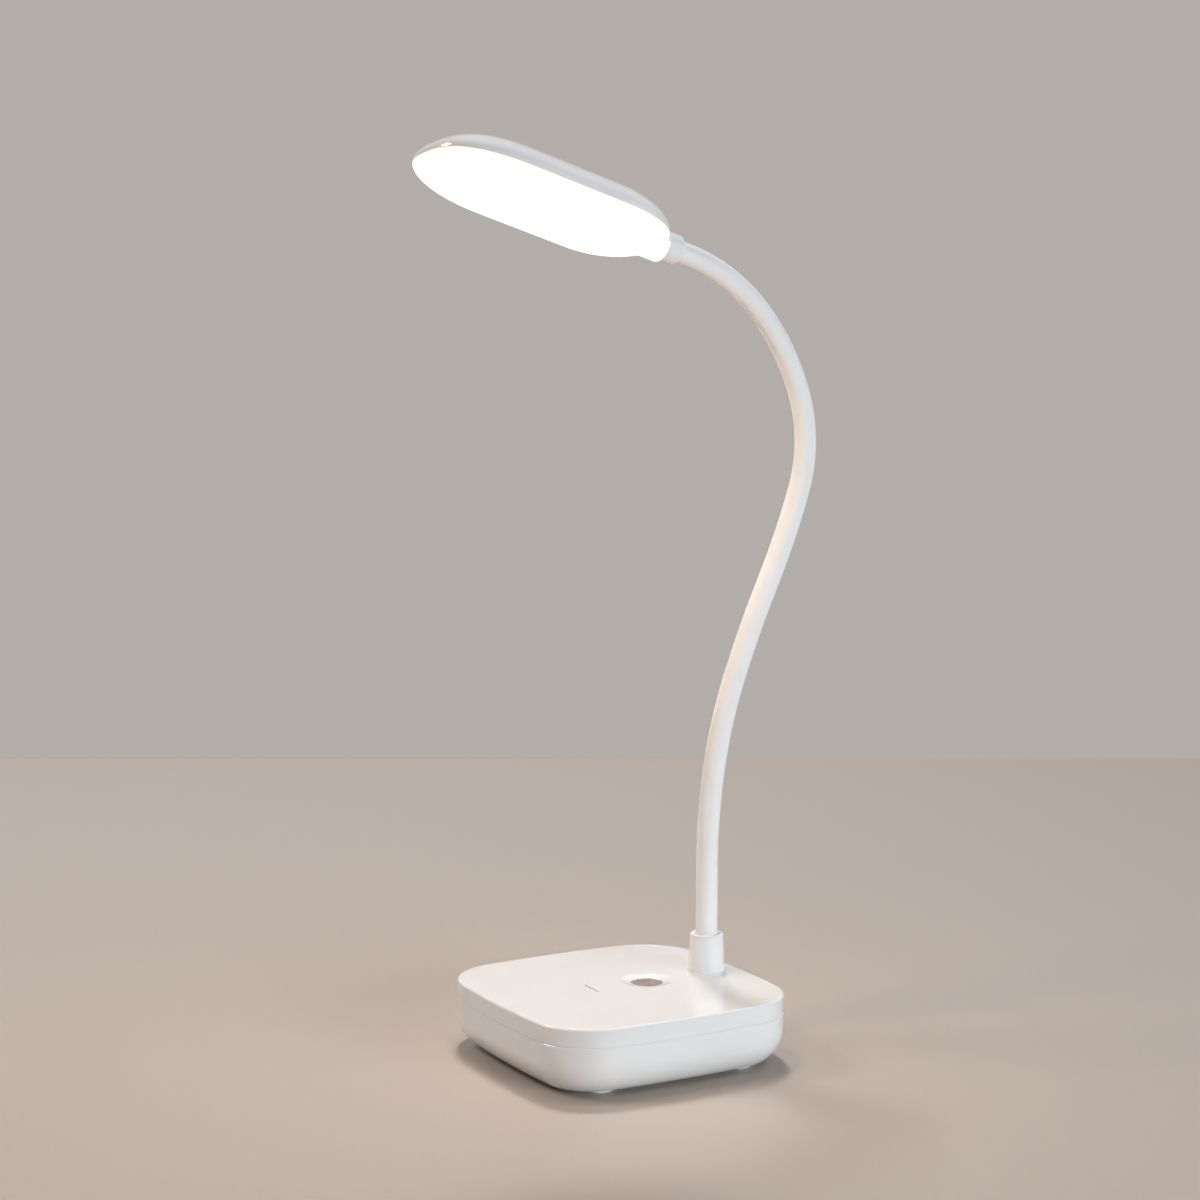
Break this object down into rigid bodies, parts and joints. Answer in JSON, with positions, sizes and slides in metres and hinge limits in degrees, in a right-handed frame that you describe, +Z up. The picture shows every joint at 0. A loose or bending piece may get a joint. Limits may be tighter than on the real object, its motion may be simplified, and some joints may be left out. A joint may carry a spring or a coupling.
{
  "type": "desk lamp",
  "caption": "Rechargeable desk lamp: a bending gooseneck carries a leaf-shaped lit head over a rounded square base with a touch button and indicator slot.",
  "frame": {"origin": "on the table, straight below the centre of the base's flat underside, which the feet hold 2 mm up", "axes": "+Z up, +X from the centre of the base towards the stem, so the head reaches to -X, and +Y to the left as seen from the head's side"},
  "size_m": [0.1734, 0.11, 0.3562],
  "materials": {
    "white_plastic": "glossy, moulded",
    "button_metal": "dark mirror finish, lightly hollowed",
    "pipe_plastic": "translucent, moulded",
    "white_silicone": "satin, soft touch",
    "foot_silicone": "satin",
    "diffuser_plastic": "opal, lit from behind",
    "inner_plastic": "moulded",
    "black_plastic": "moulded",
    "steel": "plain",
    "plated_steel": "nickel plated",
    "cell_wrap": "shrink film over a metal can",
    "board": "solder resist",
    "led_board_white": "white coated",
    "led_yellow": "phosphor",
    "lead_white": "insulated wire",
    "lead_red": "insulated wire"
  },
  "bodies": {
    "base": {"base_top": "white_plastic", "base_bottom": "white_plastic", "ballast": "steel", "battery": "cell_wrap", "battery_leads": "lead_red", "main_board": "board", "board_screws": "plated_steel", "usb_socket": "plated_steel", "switch": "black_plastic", "light_pipe": "pipe_plastic", "ferrule": "plated_steel", "neck_washer": "steel", "neck_nut": "steel", "stem_lead": "lead_white", "base_screws": "plated_steel", "foot_1": "foot_silicone", "foot_2": "foot_silicone", "foot_3": "foot_silicone", "foot_4": "foot_silicone", "sleeve_1": "white_silicone", "hose_1": "steel", "lead_1": "lead_white"},
    "button": {"button": "button_metal", "switch_plunger": "inner_plastic"},
    "neck_2": {"sleeve_2": "white_silicone", "hose_2": "steel", "lead_2": "lead_white"},
    "neck_3": {"sleeve_3": "white_silicone", "hose_3": "steel", "lead_3": "lead_white"},
    "neck_4": {"sleeve_4": "white_silicone", "hose_4": "steel", "lead_4": "lead_white"},
    "neck_5": {"sleeve_5": "white_silicone", "hose_5": "steel", "lead_5": "lead_white"},
    "neck_6": {"sleeve_6": "white_silicone", "hose_6": "steel", "lead_6": "lead_white"},
    "neck_7": {"sleeve_7": "white_silicone", "hose_7": "steel", "lead_7": "lead_white"},
    "head": {"sleeve_8": "white_silicone", "hose_8": "steel", "lead_8": "lead_white", "head_collar": "white_plastic", "collar_clamp": "inner_plastic", "head_shell": "white_plastic", "diffuser": "diffuser_plastic", "led_board": "led_board_white", "leds": "led_yellow", "head_screws": "plated_steel", "head_lead": "lead_white"}
  },
  "joints": [
    {"name": "button_press", "type": "slide", "parent": "base", "child": "button", "axis": [0, 0, -1], "range_m": [0, 0.0005], "stiffness_N_per_m": 600, "springref_m": -0.0005},
    {"name": "neck_bend_1", "type": "hinge", "parent": "base", "child": "neck_2", "pos_m": [0.041, 0, 0.07076], "axis": [0, -1, 0], "range_deg": [-28, 28]},
    {"name": "neck_bend_2", "type": "hinge", "parent": "neck_2", "child": "neck_3", "pos_m": [0.04408, 0, 0.10986], "axis": [0.9877, 0, -0.1564], "range_deg": [-28, 28]},
    {"name": "neck_bend_3", "type": "hinge", "parent": "neck_3", "child": "neck_4", "pos_m": [0.05399, 0, 0.14778], "axis": [0, -1, 0], "range_deg": [-28, 28]},
    {"name": "neck_bend_4", "type": "hinge", "parent": "neck_4", "child": "neck_5", "pos_m": [0.0692, 0, 0.18396], "axis": [0.9041, 0, -0.4274], "range_deg": [-28, 28]},
    {"name": "neck_bend_5", "type": "hinge", "parent": "neck_5", "child": "neck_6", "pos_m": [0.08371, 0, 0.22041], "axis": [0, -1, 0], "range_deg": [-28, 28]},
    {"name": "neck_bend_6", "type": "hinge", "parent": "neck_6", "child": "neck_7", "pos_m": [0.08367, 0, 0.25902], "axis": [0.95, 0, 0.3123], "range_deg": [-28, 28]},
    {"name": "neck_bend_7", "type": "hinge", "parent": "neck_7", "child": "head", "pos_m": [0.06404, 0, 0.29269], "axis": [0, -1, 0], "range_deg": [-28, 28]}
  ]
}
